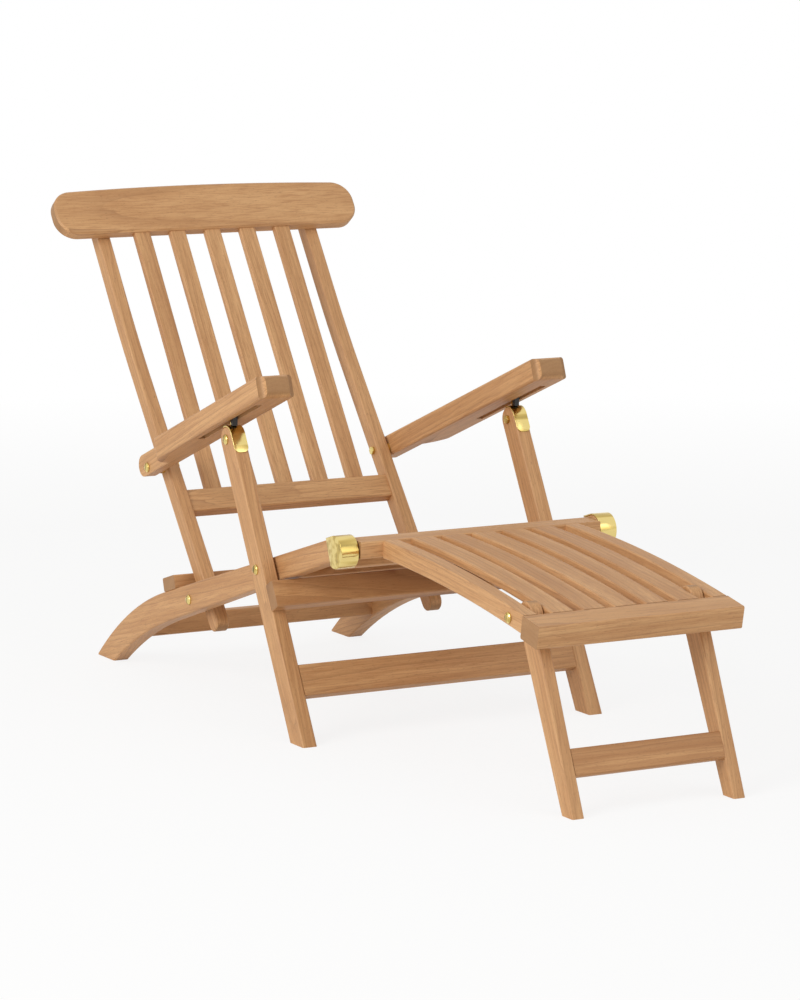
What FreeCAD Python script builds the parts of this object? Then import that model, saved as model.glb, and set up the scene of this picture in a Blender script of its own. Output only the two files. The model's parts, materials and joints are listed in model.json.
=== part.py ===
"""Steamer deck chair in teak with brass fittings, built as a parametric document.

The chair faces -Y, its width runs along X and it stands on Z = 0. Side views are drawn on the YZ
plane, with Y = 0 at the toe of the front legs. At the end every piece moves along Y so that the
origin lies under the middle of the chair. All lengths are in millimetres and angles in degrees.
"""
import FreeCAD, Part
import math
import os

import Sketcher

Vector = FreeCAD.Vector

DOC = FreeCAD.newDocument("SteamerDeckChair")
SHEET = DOC.addObject("Spreadsheet::Sheet", "Sizes")

DRIVING_SIZES = [
    ("width_over_legs", 590, "outside width over the front legs"),
    ("arris", 2, "easing of the long timber edges"),
    ("fit_gap", 0.2, "assembly gap between a fitting and the timber it covers"),
    ("running_gap", 0.05, "radial clearance of a pin that turns"),
    ("leg_thick", 27, "front leg, across the chair"),
    ("leg_depth", 44, "front leg, front to back"),
    ("leg_lean", 61.5, "front leg, angle from the floor"),
    ("arm_over_leg", 6.3, "gap between the arm's underside and the saddle on the leg"),
    ("leg_pivot_along", 329, "front leg pivot, from the toe along the leg"),
    ("leg_washer", 4, "brass washer between front leg and side rail"),
    ("apron_bottom", 245, "apron rail, lower edge from the toe along the leg"),
    ("apron_height", 47, "apron rail height"),
    ("apron_thick", 27, "apron rail thickness, all of it in front of the legs"),
    ("low_rail_bottom", 91, "front stretcher, lower edge from the toe along the leg"),
    ("low_rail_height", 56, "front stretcher height"),
    ("low_rail_thick", 23, "front stretcher thickness"),
    ("low_rail_set_back", 1, "front stretcher behind the front of the legs"),
    ("rail_thick", 30, "side rail, across the chair"),
    ("rail_slope", 16.4, "side rail slope below level, towards the back"),
    ("rail_height", 37.5, "side rail height behind the knuckle"),
    ("rail_taper", 1.3, "side rail lower edge, angle away from the upper one"),
    ("rail_straight", 700, "side rail, knuckle centre to the start of the bent foot"),
    ("rail_bend_upper", 820, "radius of the foot's upper edge"),
    ("rail_bend_lower", 1000, "radius of the foot's lower edge"),
    ("rail_tip", 5, "blunt end of the rear foot"),
    ("knuckle_y", -60, "knuckle centre behind the toe line of the front legs"),
    ("knuckle_z", 341, "knuckle centre above the floor"),
    ("knuckle_radius", 25, "rounded front end of the side rail"),
    ("knuckle_blend", 15, "hollow blend between the rounded front end and the lower edge"),
    ("cap_wall", 3, "brass knuckle cap wall"),
    ("cap_reach", 23, "brass knuckle cap, from the knuckle centre back along the rail"),
    ("knuckle_pin_radius", 5, "footrest hinge pin radius"),
    ("bar_start", 650, "rear cross bar, front edge from the knuckle along the rail"),
    ("bar_width", 50, "rear cross bar, along the rail"),
    ("bar_thick", 25, "rear cross bar thickness"),
    ("rear_rail_y", 749, "rear stretcher front face behind the toe line"),
    ("rear_rail_z", 60, "rear stretcher underside above the floor"),
    ("rear_rail_height", 36, "rear stretcher height"),
    ("rear_rail_thick", 24, "rear stretcher thickness"),
    ("seat_slat_width", 44, "seat slat width"),
    ("seat_slat_gap", 16, "gap between seat slats"),
    ("seat_slat_thick", 12, "seat slat thickness"),
    ("seat_slat_start", 34, "front end of the seat slats, from the knuckle along the rail"),
    ("seat_slat_end", 696, "rear end of the seat slats, from the knuckle along the rail"),
    ("seat_rail_start", 40, "seat front rail, from the knuckle along the rail"),
    ("seat_rail_thick", 28, "seat front rail thickness"),
    ("seat_rail_height", 36, "seat front rail height"),
    ("batten_start", 340, "seat batten, from the knuckle along the rail"),
    ("batten_width", 40, "seat batten width"),
    ("batten_thick", 18, "seat batten thickness"),
    ("stile_gap", 3, "gap between side rail and back stile"),
    ("stile_thick", 25, "back stile, across the chair"),
    ("stile_depth", 29, "back stile, front to back above the bend"),
    ("stile_swell", 5, "how much deeper the stile is at its lower end, at the back"),
    ("stile_tail", 49, "back stile, pivot down to the centre of its rounded end"),
    ("stile_lower", 556, "back stile, pivot to the bend"),
    ("stile_upper", 296, "back stile, bend to the top"),
    ("stile_bend_radius", 2500, "radius of the bend in the stile's centre line"),
    ("back_lean", 51.1, "lower part of the back, angle from the floor"),
    ("back_lean_upper", 55.2, "upper part of the back, angle from the floor"),
    ("back_pivot_y", 513, "back pivot behind the toe line"),
    ("back_pivot_z", 170, "back pivot above the floor"),
    ("back_rail_start", 176, "lower back rail, from the pivot along the stile"),
    ("back_rail_height", 46, "lower back rail height"),
    ("back_rail_thick", 24, "lower back rail thickness, flush with the stile's back"),
    ("head_start", 210, "head rail, from the bend to its lower edge"),
    ("head_height", 92, "head rail height at its ends"),
    ("head_crown", 6, "rise of the head rail's top edge at its middle"),
    ("head_length", 630, "head rail length"),
    ("head_thick", 25, "head rail thickness, all of it in front of the stiles"),
    ("head_end_radius", 40, "head rail end rounding"),
    ("head_easing", 3.5, "easing of the head rail's outline"),
    ("back_slat_width", 32, "back slat width"),
    ("back_slat_pitch", 73.5, "back slat spacing, centre to centre"),
    ("back_slat_thick", 14, "back slat thickness"),
    ("arm_pivot_along", 281, "arm pivot, from the back pivot along the stile"),
    ("arm_pivot_back", 2, "arm pivot behind the middle of the stile"),
    ("arm_slope", 20.4, "arm slope, rising to the front"),
    ("arm_gap", 5, "gap between stile and arm, filled by a washer"),
    ("arm_width", 67, "arm width"),
    ("arm_below", 13, "arm underside below the arm pivot"),
    ("arm_above", 27, "arm top above the arm pivot"),
    ("arm_reach", 590, "arm pivot to the nose"),
    ("arm_nose_radius", 14, "rounding of the arm's nose, top and bottom"),
    ("arm_corner_radius", 12, "rounding of the nose's corners, seen from above"),
    ("arm_easing", 5, "rounding of the arm's long edges"),
    ("tongue_width", 26, "narrow rear end of the arm, across the chair"),
    ("tongue_reach", 37, "arm pivot to the rear end of the tongue"),
    ("shoulder_inner", 92, "where the tongue meets the wide part, from the pivot"),
    ("shoulder_outer", 137, "outer rear corner of the wide part, from the pivot"),
    ("shoulder_radius", 75, "hollow curve of the shoulder"),
    ("groove_width", 14, "catch groove in the arm's underside"),
    ("groove_depth", 24, "catch groove depth"),
    ("groove_start", 285, "catch groove, from the arm pivot"),
    ("groove_end", 531, "catch groove end, from the arm pivot"),
    ("rack_plate", 4, "brass rack, plate thickness"),
    ("rack_tooth", 4, "brass rack, tooth height"),
    ("rack_pitch", 30, "brass rack, tooth spacing"),
    ("rack_teeth", 8, "number of teeth on the brass rack"),
    ("saddle_wall", 2, "brass saddle on the leg top, sheet thickness"),
    ("saddle_drop", 34, "how far the saddle runs down the leg's front"),
    ("catch_width", 9, "tongue of the saddle and catch block, across the chair"),
    ("tongue_thick", 4, "tongue of the saddle, front to back"),
    ("block_depth", 9, "black catch block, front to back"),
    ("catch_clearance", 4.2, "gap between the catch and the teeth of the rack"),
    ("foot_arc_radius", 3150, "curve of the footrest's top"),
    ("foot_pitch", 2.2, "slope of the footrest where it meets the hinge rail"),
    ("hinge_rail_front", 31, "front face of the hinge rail before the knuckle centre"),
    ("hinge_rail_rise", 19, "top of the hinge rail above the knuckle centre"),
    ("hinge_rail_depth", 44, "hinge rail, front to back"),
    ("hinge_rail_height", 29, "hinge rail height"),
    ("hinge_gap", 2, "gap between hinge rail and side rail"),
    ("foot_half_width", 190, "footrest, middle to the outer face of its side rail"),
    ("foot_side_thick", 28, "footrest side rail, across the chair"),
    ("foot_side_height", 31, "footrest side rail height"),
    ("foot_slat_width", 42, "footrest slat width"),
    ("foot_slat_gap", 16, "gap between footrest slats"),
    ("foot_slat_thick", 14, "footrest slat thickness"),
    ("foot_run", 464, "hinge rail to front rail, along the top"),
    ("front_rail_depth", 53, "footrest front rail, front to back"),
    ("front_rail_height", 38, "footrest front rail height"),
    ("foot_pivot_run", 423, "hinge rail to the footrest leg pivot, along the top"),
    ("foot_pivot_drop", 18, "footrest leg pivot below the top"),
    ("foot_leg_thick", 22, "footrest leg, across the chair"),
    ("foot_leg_gap", 1.5, "gap between footrest leg and side rail"),
    ("foot_leg_head", 46, "footrest leg depth at its pivot"),
    ("foot_leg_toe", 31, "footrest leg depth at the floor"),
    ("foot_leg_lean", 65.9, "footrest leg, angle from the floor"),
    ("foot_bar_top", 105, "footrest leg stretcher, upper edge above the floor along the leg"),
    ("foot_bar_height", 45, "footrest leg stretcher height"),
    ("foot_bar_thick", 16, "footrest leg stretcher thickness"),
    ("bolt_radius", 5, "pivot bolt shank radius"),
    ("bolt_head_radius", 9, "pivot bolt head radius"),
    ("bolt_head_height", 4.5, "pivot bolt head height"),
    ("bolt_rim", 1.8, "upright rim of the bolt head"),
    ("bolt_crown_radius", 5.5, "flat crown of the bolt head"),
    ("bolt_slot", 2, "screwdriver slot width"),
    ("nut_radius", 8, "nut, middle to corner"),
    ("nut_height", 5, "nut height"),
    ("washer_radius", 13, "washer outer radius"),
]

BACK_SLATS = 5
SEAT_SLATS = 7
FOOT_SLATS = 5


class Size:
    """A number together with the spreadsheet expression that it comes from."""

    def __init__(self, value, text):
        self.value = float(value)
        self.text = text

    @staticmethod
    def of(item):
        return item if isinstance(item, Size) else Size(item, repr(float(item)))

    def _join(self, other, sign, value):
        return Size(value, "(%s %s %s)" % (self.text, sign, Size.of(other).text))

    def __add__(self, other):
        return self._join(other, "+", self.value + Size.of(other).value)

    def __sub__(self, other):
        return self._join(other, "-", self.value - Size.of(other).value)

    def __mul__(self, other):
        return self._join(other, "*", self.value * Size.of(other).value)

    def __truediv__(self, other):
        return self._join(other, "/", self.value / Size.of(other).value)

    def __radd__(self, other):
        return Size.of(other) + self

    def __rsub__(self, other):
        return Size.of(other) - self

    def __rmul__(self, other):
        return Size.of(other) * self

    def __neg__(self):
        return Size(-self.value, "(0 - %s)" % self.text)


def root_of(size):
    return Size(math.sqrt(size.value), "sqrt(%s)" % size.text)


def sine(angle):
    return Size(math.sin(math.radians(angle.value)), "sin(%s * 1 deg)" % angle.text)


def cosine(angle):
    return Size(math.cos(math.radians(angle.value)), "cos(%s * 1 deg)" % angle.text)


def tangent(angle):
    return sine(angle) / cosine(angle)


def fill_sheet():
    """Write the driving sizes into the sheet and return them by name."""
    sizes = {}
    for row, (alias, value, note) in enumerate(DRIVING_SIZES, start=1):
        SHEET.set("A%d" % row, note)
        SHEET.set("B%d" % row, str(value))
        SHEET.setAlias("B%d" % row, alias)
    DOC.recompute()
    for alias, _, _ in DRIVING_SIZES:
        sizes[alias] = Size(SHEET.get(alias), "Sizes." + alias)
    return sizes


class View:
    """A local frame in the side view: an origin, and a direction at an angle from +Y."""

    def __init__(self, origin, along, across):
        self.origin = origin
        self.along = along
        self.across = across

    def at(self, u, v):
        u, v = Size.of(u), Size.of(v)
        y = self.origin[0] + u * self.along[0] + v * self.across[0]
        z = self.origin[1] + u * self.along[1] + v * self.across[1]
        return (y, z)


class Arc:
    """A corner that is reached by an arc of this radius, counter-clockwise or clockwise."""

    def __init__(self, point, radius, clockwise=False):
        self.point = point
        self.radius = radius
        self.clockwise = clockwise


def arc_geometry(start, end, radius, clockwise):
    dy, dz = end[0] - start[0], end[1] - start[1]
    chord = math.hypot(dy, dz)
    reach = math.sqrt(max(radius * radius - chord * chord / 4.0, 0.0))
    side = -1.0 if clockwise else 1.0
    centre = ((start[0] + end[0]) / 2.0 - side * reach * dz / chord,
              (start[1] + end[1]) / 2.0 + side * reach * dy / chord)
    first, last = (end, start) if clockwise else (start, end)
    angles = [math.atan2(p[1] - centre[1], p[0] - centre[0]) for p in (first, last)]
    if angles[1] < angles[0]:
        angles[1] += 2.0 * math.pi
    circle = Part.Circle(Vector(centre[0], centre[1], 0), Vector(0, 0, 1), radius)
    return Part.ArcOfCircle(circle, angles[0], angles[1])


def bind(item, prop, size):
    """Give a property a size that follows the sheet."""
    item.setExpression(prop, Size.of(size).text)


def draw_outline(sketch, corners):
    """Draw a closed outline, pin each corner to the sheet's sizes and each arc to its radius."""
    points = [c.point if isinstance(c, Arc) else c for c in corners]
    flat = [(Size.of(p[0]), Size.of(p[1])) for p in points]
    ends = []
    for index, corner in enumerate(corners):
        before = flat[index - 1]
        start = (before[0].value, before[1].value)
        end = (flat[index][0].value, flat[index][1].value)
        if isinstance(corner, Arc):
            radius = Size.of(corner.radius)
            shape = arc_geometry(start, end, radius.value, corner.clockwise)
            geo = sketch.addGeometry(shape, False)
            ends.append((geo, 2, 1) if corner.clockwise else (geo, 1, 2))
        else:
            line = Part.LineSegment(Vector(start[0], start[1], 0), Vector(end[0], end[1], 0))
            geo = sketch.addGeometry(line, False)
            ends.append((geo, 1, 2))
    for index in range(len(ends)):
        geo, _, last = ends[index]
        after, first, _ = ends[(index + 1) % len(ends)]
        sketch.addConstraint(Sketcher.Constraint("Coincident", geo, last, after, first))
    for index, (geo, _, last) in enumerate(ends):
        for kind, size in zip(("DistanceX", "DistanceY"), flat[index]):
            number = sketch.addConstraint(Sketcher.Constraint(kind, -1, 1, geo, last, size.value))
            bind(sketch, "Constraints[%d]" % number, size)
        if isinstance(corners[index], Arc):
            radius = Size.of(corners[index].radius)
            number = sketch.addConstraint(Sketcher.Constraint("Radius", geo, radius.value))
            bind(sketch, "Constraints[%d]" % number, radius)


def plane_of(body, role):
    for feature in body.Origin.OriginFeatures:
        if feature.Role == role:
            return feature
    raise ValueError("no origin plane " + role)


def new_body(label):
    body = DOC.addObject("PartDesign::Body", label)
    body.Label = label
    return body


def new_sketch(body, name, role, offset):
    sketch = body.newObject("Sketcher::SketchObject", body.Name + "_" + name)
    sketch.AttachmentSupport = [(plane_of(body, role), "")]
    sketch.MapMode = "FlatFace"
    bind(sketch, ".AttachmentOffset.Base.z", offset)
    return sketch


def pad_outline(body, name, corners, low, high, role="YZ_Plane"):
    """Pad an outline from low to high along the plane's normal."""
    sketch = new_sketch(body, name + "_outline", role, low)
    draw_outline(sketch, corners)
    pad = body.newObject("PartDesign::Pad", body.Name + "_" + name)
    pad.Profile = sketch
    pad.Length = (Size.of(high) - low).value
    bind(pad, "Length", Size.of(high) - low)
    DOC.recompute()
    return pad


def cut_sketch(body, name, draw, low, high, role="YZ_Plane"):
    """Cut what draw() sketches out of the body, from low to high along the plane's normal."""
    before = body.Shape.Volume
    sketch = new_sketch(body, name + "_outline", role, high)
    draw(sketch)
    pocket = body.newObject("PartDesign::Pocket", body.Name + "_" + name)
    pocket.Profile = sketch
    pocket.Length = (Size.of(high) - low).value
    bind(pocket, "Length", Size.of(high) - low)
    DOC.recompute()
    if not body.Shape.Volume < before - 1.0:
        raise ValueError("%s cut nothing from %s" % (name, body.Label))
    return pocket


def cut_outline(body, name, corners, low, high, role="YZ_Plane"):
    return cut_sketch(body, name, lambda sketch: draw_outline(sketch, corners), low, high, role)


def bore(body, name, centre, radius, low, high):
    """Drill a round hole along X."""
    def draw(sketch):
        y, z = Size.of(centre[0]), Size.of(centre[1])
        circle = Part.Circle(Vector(y.value, z.value, 0), Vector(0, 0, 1), Size.of(radius).value)
        geo = sketch.addGeometry(circle, False)
        for kind, size in (("DistanceX", y), ("DistanceY", z)):
            number = sketch.addConstraint(Sketcher.Constraint(kind, -1, 1, geo, 3, size.value))
            bind(sketch, "Constraints[%d]" % number, size)
        number = sketch.addConstraint(Sketcher.Constraint("Radius", geo, Size.of(radius).value))
        bind(sketch, "Constraints[%d]" % number, radius)
    return cut_sketch(body, name, draw, low, high)


def ease(body, name, size, wanted, rounded=False):
    """Ease the edges for which wanted(edge) is true with a small chamfer, or with a rounding."""
    base = body.Tip
    edges = base.Shape.Edges
    names = ["Edge%d" % (i + 1) for i, edge in enumerate(edges) if wanted(edge)]
    if not names:
        raise ValueError("no edge to ease on " + body.Label)
    kind, prop = ("Fillet", "Radius") if rounded else ("Chamfer", "Size")
    feature = body.newObject("PartDesign::" + kind, body.Name + "_" + name)
    feature.Base = (base, names)
    setattr(feature, prop, Size.of(size).value)
    bind(feature, prop, size)
    DOC.recompute()
    return feature


def side_edges(low, high, skip=()):
    """Pick the outline edges of a padded plate, except those that lie along a skipped line."""
    faces = (Size.of(low).value, Size.of(high).value)

    def wanted(edge):
        xs = [v.Point.x for v in edge.Vertexes]
        flat = any(all(abs(x - face) < 0.01 for x in xs) for face in faces)
        return flat and not any(test(edge) for test in skip)
    return wanted


def on_floor(edge):
    return all(abs(v.Point.z) < 0.01 for v in edge.Vertexes)


def along_x(edge):
    if len(edge.Vertexes) < 2:
        return False
    a, b = [v.Point for v in edge.Vertexes]
    return abs(a.y - b.y) < 0.01 and abs(a.z - b.z) < 0.01


def long_x_edges(edge):
    return along_x(edge)


PIECES = []


def keep(body):
    PIECES.append(body)
    return body


def mirrored_pair(label, build):
    """Build a piece for each side. build() gets the body and the side, -1 left or 1 right."""
    for side, name in ((-1, "left"), (1, "right")):
        body = new_body("%s_%s" % (label, name))
        build(body, side)
        keep(body)


def span(side, inner, outer):
    """The X range of a piece between two distances from the middle, on one side."""
    inner, outer = Size.of(inner), Size.of(outer)
    return (inner, outer) if side > 0 else (-outer, -inner)


def group(label, bodies):
    """Put identical fasteners together in one node, as separate solids."""
    node = DOC.addObject("Part::Compound", label)
    node.Label = label
    node.Links = bodies
    return keep(node)


S = fill_sheet()

# Distances from the middle of the chair, from the outside in.
LEG_OUTER = S["width_over_legs"] / 2
LEG_INNER = LEG_OUTER - S["leg_thick"]
RAIL_OUTER = LEG_INNER - S["leg_washer"]
RAIL_INNER = RAIL_OUTER - S["rail_thick"]
STILE_OUTER = RAIL_INNER - S["stile_gap"]
STILE_INNER = STILE_OUTER - S["stile_thick"]
ARM_INNER = STILE_OUTER + S["arm_gap"]
ARM_OUTER = ARM_INNER + S["arm_width"]
TONGUE_OUTER = ARM_INNER + S["tongue_width"]
HINGE_END = RAIL_INNER - S["hinge_gap"]
FOOT_OUTER = S["foot_half_width"]
FOOT_INNER = FOOT_OUTER - S["foot_side_thick"]
FOOT_LEG_OUTER = FOOT_INNER - S["foot_leg_gap"]
FOOT_LEG_INNER = FOOT_LEG_OUTER - S["foot_leg_thick"]
GROOVE_MIDDLE = (LEG_OUTER + LEG_INNER) / 2

# Local frames of the side view.
LEG = View((Size.of(0), Size.of(0)), (cosine(S["leg_lean"]), sine(S["leg_lean"])),
           (sine(S["leg_lean"]), -cosine(S["leg_lean"])))
KNUCKLE = (S["knuckle_y"], S["knuckle_z"])
RAIL = View(KNUCKLE, (cosine(S["rail_slope"]), -sine(S["rail_slope"])),
            (sine(S["rail_slope"]), cosine(S["rail_slope"])))
RAIL_DIP = S["rail_slope"] + S["rail_taper"]
UNDERSIDE = View(KNUCKLE, (cosine(RAIL_DIP), -sine(RAIL_DIP)), (sine(RAIL_DIP), cosine(RAIL_DIP)))
BACK_PIVOT = (S["back_pivot_y"], S["back_pivot_z"])
BACK = View(BACK_PIVOT, (cosine(S["back_lean"]), sine(S["back_lean"])),
            (-sine(S["back_lean"]), cosine(S["back_lean"])))
UPPER = View(BACK.at(S["stile_lower"], 0),
             (cosine(S["back_lean_upper"]), sine(S["back_lean_upper"])),
             (-sine(S["back_lean_upper"]), cosine(S["back_lean_upper"])))
ARM_PIVOT = BACK.at(S["arm_pivot_along"], -S["arm_pivot_back"])
ARM = View(ARM_PIVOT, (-cosine(S["arm_slope"]), sine(S["arm_slope"])),
           (sine(S["arm_slope"]), cosine(S["arm_slope"])))
LEG_PIVOT = LEG.at(S["leg_pivot_along"], S["leg_depth"] / 2)


def height_over_arm_line(point):
    """Distance of a point from the line through the arm pivot along the arm, upwards."""
    return (point[0] - ARM_PIVOT[0]) * ARM.across[0] + (point[1] - ARM_PIVOT[1]) * ARM.across[1]


def leg_length():
    """Toe to the top of the leg, so that its saddle stays just under the arm."""
    half = S["leg_depth"] / 2
    wanted = -S["arm_below"] - S["arm_over_leg"] - S["saddle_wall"] - S["fit_gap"] - half
    climb = LEG.along[0] * ARM.across[0] + LEG.along[1] * ARM.across[1]
    return (wanted - height_over_arm_line(LEG.at(0, half))) / climb + half


LEG_LENGTH = leg_length()
FOOT_START = (S["knuckle_y"] - S["hinge_rail_front"], S["knuckle_z"] + S["hinge_rail_rise"])
FOOT_CENTRE = (FOOT_START[0] + S["foot_arc_radius"] * sine(S["foot_pitch"]),
               FOOT_START[1] - S["foot_arc_radius"] * cosine(S["foot_pitch"]))
HINGE_RAIL = View(FOOT_START, (cosine(S["foot_pitch"]), sine(S["foot_pitch"])),
                  (sine(S["foot_pitch"]), -cosine(S["foot_pitch"])))


def foot_at(run, drop):
    """A point of the footrest: run along its curved top, and drop below it."""
    turn = Size.of(run) / S["foot_arc_radius"] * (180.0 / math.pi) + S["foot_pitch"]
    radius = S["foot_arc_radius"] - drop
    return (FOOT_CENTRE[0] - radius * sine(turn), FOOT_CENTRE[1] + radius * cosine(turn))


FOOT_PIVOT = foot_at(S["foot_pivot_run"], S["foot_pivot_drop"])
FOOT_LEG = View(FOOT_PIVOT, (-cosine(S["foot_leg_lean"]), -sine(S["foot_leg_lean"])),
                (-sine(S["foot_leg_lean"]), cosine(S["foot_leg_lean"])))
RAIL_TOP = S["knuckle_radius"]
BOLT_HOLE = S["bolt_radius"] + S["running_gap"]


def rail_lower(u):
    """Height of the side rail's lower edge in the rail's frame."""
    return RAIL_TOP - S["rail_height"] - u * tangent(S["rail_taper"])


def rail_outline():
    """Side rail: round head, tapering run and bent rear foot, cut level on the floor."""
    head, blend = S["knuckle_radius"], S["knuckle_blend"]
    drop = (S["rail_height"] - RAIL_TOP) * cosine(S["rail_taper"])
    both = head + blend
    past = root_of(both * both - (drop + blend) * (drop + blend))
    bend = S["rail_straight"]
    upper = RAIL.at(bend, RAIL_TOP - S["rail_bend_upper"])
    blunt = S["rail_tip"] - upper[1]
    heel = upper[0] + root_of(S["rail_bend_upper"] * S["rail_bend_upper"] - blunt * blunt)
    under = rail_lower(bend)
    start = RAIL.at(bend, under)
    lower = (start[0] - S["rail_bend_lower"] * sine(RAIL_DIP),
             start[1] - S["rail_bend_lower"] * cosine(RAIL_DIP))
    toe = lower[0] + root_of(S["rail_bend_lower"] * S["rail_bend_lower"] - lower[1] * lower[1])
    leave = UNDERSIDE.at(past * head / both, -(drop + blend) * head / both)
    return [RAIL.at(0, head), Arc(RAIL.at(-head, 0), head), Arc(leave, head),
            Arc(UNDERSIDE.at(past, -drop), blend, True), start,
            Arc((toe, 0), S["rail_bend_lower"], True), (heel, 0), (heel, S["rail_tip"]),
            Arc(RAIL.at(bend, RAIL_TOP), S["rail_bend_upper"])]


def build_side_rail(body, side):
    low, high = span(side, RAIL_INNER, RAIL_OUTER)
    pad_outline(body, "board", rail_outline(), low, high)
    for name, centre, radius in (("hinge_hole", KNUCKLE, S["knuckle_pin_radius"] + S["running_gap"]),
                                 ("leg_hole", LEG_PIVOT, BOLT_HOLE),
                                 ("back_hole", BACK_PIVOT, BOLT_HOLE)):
        bore(body, name, centre, radius, low, high)

    ease(body, "easing", S["arris"], side_edges(low, high, (on_floor, lambda e: e.Length < 100.0)))


def build_knuckle_cap(body, side):
    """Brass cap over the head of the side rail, open towards the middle of the chair."""
    wall = S["cap_wall"]
    outer = S["knuckle_radius"] + wall
    inner = S["knuckle_radius"] + S["fit_gap"]

    diagonal = root_of(Size.of(0.5))
    reach = S["cap_reach"]

    def wrap(radius):
        return [RAIL.at(0, radius), Arc(RAIL.at(-radius, 0), radius),
                Arc(RAIL.at(radius * diagonal, -radius * diagonal), radius)]
    inside, outside = span(side, RAIL_INNER, RAIL_OUTER + wall)
    pad_outline(body, "shell", [RAIL.at(reach, outer)] + wrap(outer), inside, outside)
    past = reach + wall
    hollow = [RAIL.at(past, inner)] + wrap(inner) + [RAIL.at(past, -inner * diagonal)]
    low, high = span(side, RAIL_INNER - wall, RAIL_OUTER + S["fit_gap"])
    cut_outline(body, "hollow", hollow, low, high)


def board(label, corners, low, high, radius=None, skip=()):
    """A straight board along X with all the edges of its section eased."""
    body = new_body(label)
    pad_outline(body, "board", corners, low, high)
    ease(body, "easing", radius or S["arris"], lambda e: along_x(e) and not any(t(e) for t in skip))
    return keep(body)


def rectangle(view, u0, u1, v0, v1):
    return [view.at(u0, v0), view.at(u1, v0), view.at(u1, v1), view.at(u0, v1)]


def slat_span(index, count, width, pitch):
    middle = Size.of(index - (count - 1) / 2.0) * pitch
    return middle - width / 2, middle + width / 2


def plate(label, corners, low, high, shorter_than=0.0):
    """A lengthwise slat: its side view is padded across and its long edges are eased."""
    body = new_body(label)
    pad_outline(body, "board", corners, low, high)
    ease(body, "easing", S["arris"], side_edges(low, high, (lambda e: e.Length < shorter_than,)))
    return keep(body)


def build_seat_frame():
    mirrored_pair("side_rail", build_side_rail)
    mirrored_pair("knuckle_cap", build_knuckle_cap)
    bar = rectangle(RAIL, S["bar_start"], S["bar_start"] + S["bar_width"],
                    RAIL_TOP, RAIL_TOP + S["bar_thick"])
    board("rear_cross_bar", bar, -RAIL_OUTER, RAIL_OUTER)
    y, z = S["rear_rail_y"], S["rear_rail_z"]
    rear = [(y, z), (y + S["rear_rail_thick"], z),
            (y + S["rear_rail_thick"], z + S["rear_rail_height"]), (y, z + S["rear_rail_height"])]
    board("rear_stretcher", rear, -RAIL_INNER, RAIL_INNER)
    under = RAIL_TOP - S["seat_slat_thick"]
    front = rectangle(RAIL, S["seat_rail_start"], S["seat_rail_start"] + S["seat_rail_thick"],
                      under - S["seat_rail_height"], under)
    board("seat_front_rail", front, -RAIL_INNER, RAIL_INNER)
    batten = rectangle(RAIL, S["batten_start"], S["batten_start"] + S["batten_width"],
                       under - S["batten_thick"], under)
    board("seat_batten", batten, -RAIL_INNER, RAIL_INNER)
    for index in range(SEAT_SLATS):
        low, high = slat_span(index, SEAT_SLATS, S["seat_slat_width"],
                              S["seat_slat_width"] + S["seat_slat_gap"])
        slat = rectangle(RAIL, S["seat_slat_start"], S["seat_slat_end"], under, RAIL_TOP)
        plate("seat_slat_%d" % (index + 1), slat, low, high, 50.0)


def build_stile(body, side):
    low, high = span(side, STILE_INNER, STILE_OUTER)
    half = S["stile_depth"] / 2
    turn = (S["back_lean_upper"] - S["back_lean"]) / 2
    reach = S["stile_bend_radius"] * tangent(turn)
    outer_radius = S["stile_bend_radius"] + half
    inner_radius = S["stile_bend_radius"] - half
    tail, swell = S["stile_tail"], S["stile_swell"]
    start = S["stile_lower"] - reach
    end = half + swell / 2
    corners = [BACK.at(start, -half), Arc(UPPER.at(reach, -half), outer_radius),
               UPPER.at(S["stile_upper"], -half), UPPER.at(S["stile_upper"], half),
               UPPER.at(reach, half), Arc(BACK.at(start, half), inner_radius, True),
               BACK.at(-tail, half), Arc(BACK.at(-tail - end, -swell / 2), end),
               Arc(BACK.at(-tail, -half - swell), end)]
    pad_outline(body, "board", corners, low, high)
    bore(body, "pivot_hole", BACK_PIVOT, BOLT_HOLE, low, high)
    bore(body, "arm_hole", ARM_PIVOT, BOLT_HOLE, low, high)
    ease(body, "easing", S["arris"], side_edges(low, high, (lambda e: e.Length < 40.0,)))


def build_head_rail():
    """Head rail: a crowned board with fully rounded ends, in front of the stiles."""
    body = new_body("head_rail")
    half, height, crown = S["head_length"] / 2, S["head_height"], S["head_crown"]
    radius = S["head_end_radius"]
    shoulder = half - radius
    top_radius = (shoulder * shoulder + crown * crown) / (2 * crown)
    corners = [(-shoulder, 0), (shoulder, 0), Arc((half, radius), radius), (half, height - radius),
               Arc((shoulder, height), radius), Arc((0, height + crown), top_radius),
               Arc((-shoulder, height), top_radius), Arc((-half, height - radius), radius),
               (-half, radius), Arc((-shoulder, 0), radius)]
    pad_outline(body, "board", corners[1:] + [], Size.of(0), S["head_thick"], "XZ_Plane")
    ease(body, "easing", S["head_easing"], lambda e: abs(e.Vertexes[0].Point.y - e.Vertexes[-1].Point.y) < 0.01)
    start = UPPER.at(S["head_start"], S["stile_depth"] / 2)
    tilt = S["back_lean_upper"] - 90
    body.Placement = FreeCAD.Placement(Vector(0, start[0].value, start[1].value),
                                       FreeCAD.Rotation(Vector(1, 0, 0), tilt.value))
    return keep(body)


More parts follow.
